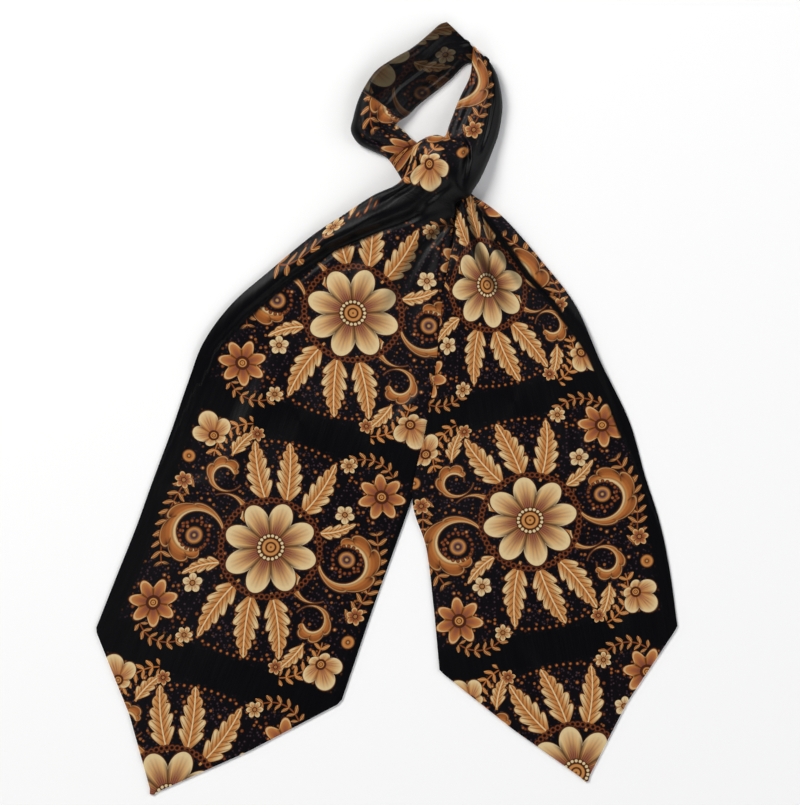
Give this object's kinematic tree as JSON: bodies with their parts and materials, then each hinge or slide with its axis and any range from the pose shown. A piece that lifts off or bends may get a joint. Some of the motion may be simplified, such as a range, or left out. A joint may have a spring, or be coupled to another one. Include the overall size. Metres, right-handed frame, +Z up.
{
  "type": "silk cravat",
  "caption": "Long printed silk cravat laid flat, its neck loop closed by one loose crossing, with two wide blades that spread apart to pointed ends.",
  "frame": {"origin": "middle of the footprint, on the surface the cravat lies on", "axes": "+Y from the pointed ends to the top of the neck loop, +X to the right seen from above, +Z up from the surface"},
  "size_m": [0.384, 0.51, 0.0232],
  "materials": {
    "silk_print": "satin"
  },
  "bodies": {
    "root": {"left_blade": "silk_print", "left_blade_turned_edge": "silk_print", "right_blade": "silk_print", "neck_loop_right": "silk_print", "neck_loop_back": "silk_print", "neck_loop_turn": "silk_print", "under_pass": "silk_print", "knot_fall": "silk_print"}
  },
  "joints": []
}
